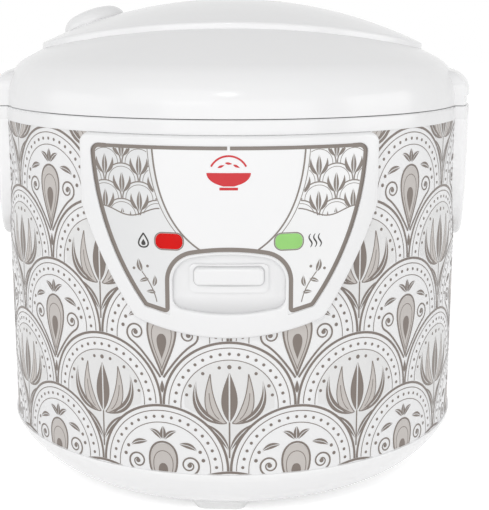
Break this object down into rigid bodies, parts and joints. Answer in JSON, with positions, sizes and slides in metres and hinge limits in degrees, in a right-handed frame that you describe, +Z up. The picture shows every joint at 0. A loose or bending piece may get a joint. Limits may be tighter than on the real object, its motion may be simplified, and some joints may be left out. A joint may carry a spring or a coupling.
{
  "type": "rice cooker",
  "caption": "Electric rice cooker with a round printed steel body, hinged domed lid with a steam cap, side grips, and a front panel with a cook lever and indicator lenses.",
  "frame": {"origin": "on the body's axis, at the level of the feet's underside", "axes": "+Z up along the body's axis, -Y towards the front panel, +X to the right of someone who faces the front panel"},
  "size_m": [0.2716, 0.2766, 0.2679],
  "materials": {
    "white_gloss": "glossy white moulding",
    "printed_steel": "white enamel with a grey printed pattern",
    "panel_film": "pale grey film",
    "red_lens": "clear red",
    "green_lens": "clear green",
    "grey_rubber": "matt pale grey",
    "clear_silicone": "milky",
    "plated_steel": "zinc plated",
    "bare_aluminium": "satin",
    "heater_sheath": "dull sheath",
    "dark_ferrite": "matt black",
    "mica_band": "matt tan",
    "black_plastic": "matt black",
    "contact_brass": "bright",
    "board_laminate": "matt green",
    "lamp_glass": "clear"
  },
  "bodies": {
    "cooker_body": {"collar_ring": "white_gloss", "side_grip_left": "white_gloss", "side_grip_right": "white_gloss", "front_panel": "white_gloss", "base_cover": "white_gloss", "body_shell": "printed_steel", "panel_inlay": "panel_film", "lever_housing": "panel_film", "cook_lens": "red_lens", "warm_lens": "green_lens", "foot_front": "grey_rubber", "foot_back": "grey_rubber", "foot_left": "grey_rubber", "foot_right": "grey_rubber", "inner_case": "plated_steel", "hinge_pin": "plated_steel", "hinge_spring": "plated_steel", "case_screws": "plated_steel", "lever_spring": "plated_steel", "rocker_pin": "plated_steel", "rocker_bracket": "plated_steel", "thermostat_holder": "plated_steel", "thermostat_spring": "plated_steel", "inner_pot": "bare_aluminium", "heating_plate": "bare_aluminium", "heater_tube": "heater_sheath", "warm_heater": "mica_band", "power_inlet": "black_plastic", "micro_switch": "black_plastic", "thermal_fuse": "black_plastic", "inlet_contacts": "contact_brass", "indicator_board": "board_laminate", "cook_lamp": "lamp_glass", "warm_lamp": "lamp_glass"},
    "lid": {"lid_cover": "white_gloss", "lid_top_plate": "white_gloss", "lid_inner_cover": "white_gloss", "lid_screws": "plated_steel", "lid_seal": "clear_silicone", "inner_lid_plate": "bare_aluminium", "plate_grommet": "clear_silicone", "steam_tube": "clear_silicone"},
    "steam_cap": {"steam_cap": "white_gloss", "steam_cap_base": "white_gloss"},
    "cook_lever": {"cook_lever": "white_gloss", "lever_strip": "plated_steel"},
    "rocker": {"rocker": "plated_steel"},
    "magnet": {"magnet_rod": "plated_steel", "magnet": "dark_ferrite"},
    "thermostat": {"thermostat_cap": "bare_aluminium", "ferrite_disc": "dark_ferrite"}
  },
  "joints": [
    {"name": "lid_hinge", "type": "hinge", "parent": "cooker_body", "child": "lid", "pos_m": [0, 0.1345, 0.2145], "axis": [-1, 0, 0], "range_deg": [0, 95]},
    {"name": "steam_cap_lift", "type": "slide", "parent": "lid", "child": "steam_cap", "axis": [-0.3282, 0.0881, 0.9405], "range_m": [0, 0.03]},
    {"name": "cook_lever_press", "type": "slide", "parent": "cooker_body", "child": "cook_lever", "axis": [0, 0, 1], "range_m": [-0.0036, 0], "stiffness_N_per_m": 400, "springref_m": 0.004, "deforming": ["lever_spring"]},
    {"name": "rocker_pivot", "type": "hinge", "parent": "cooker_body", "child": "rocker", "pos_m": [0, -0.032, 0.0402], "axis": [1, 0, 0], "range_deg": [0, 7.5]},
    {"name": "magnet_lift", "type": "slide", "parent": "cooker_body", "child": "magnet", "axis": [0, 0, 1], "range_m": [0, 0.0042]},
    {"name": "thermostat_press", "type": "slide", "parent": "cooker_body", "child": "thermostat", "axis": [0, 0, 1], "range_m": [-0.0015, 0], "stiffness_N_per_m": 500, "springref_m": 0.002, "deforming": ["thermostat_spring"]}
  ],
  "couplings": [
    {"joint": "rocker_pivot", "follows": "cook_lever_press", "rad_per_m": -35.714},
    {"joint": "magnet_lift", "follows": "cook_lever_press", "ratio": -1.1429}
  ]
}
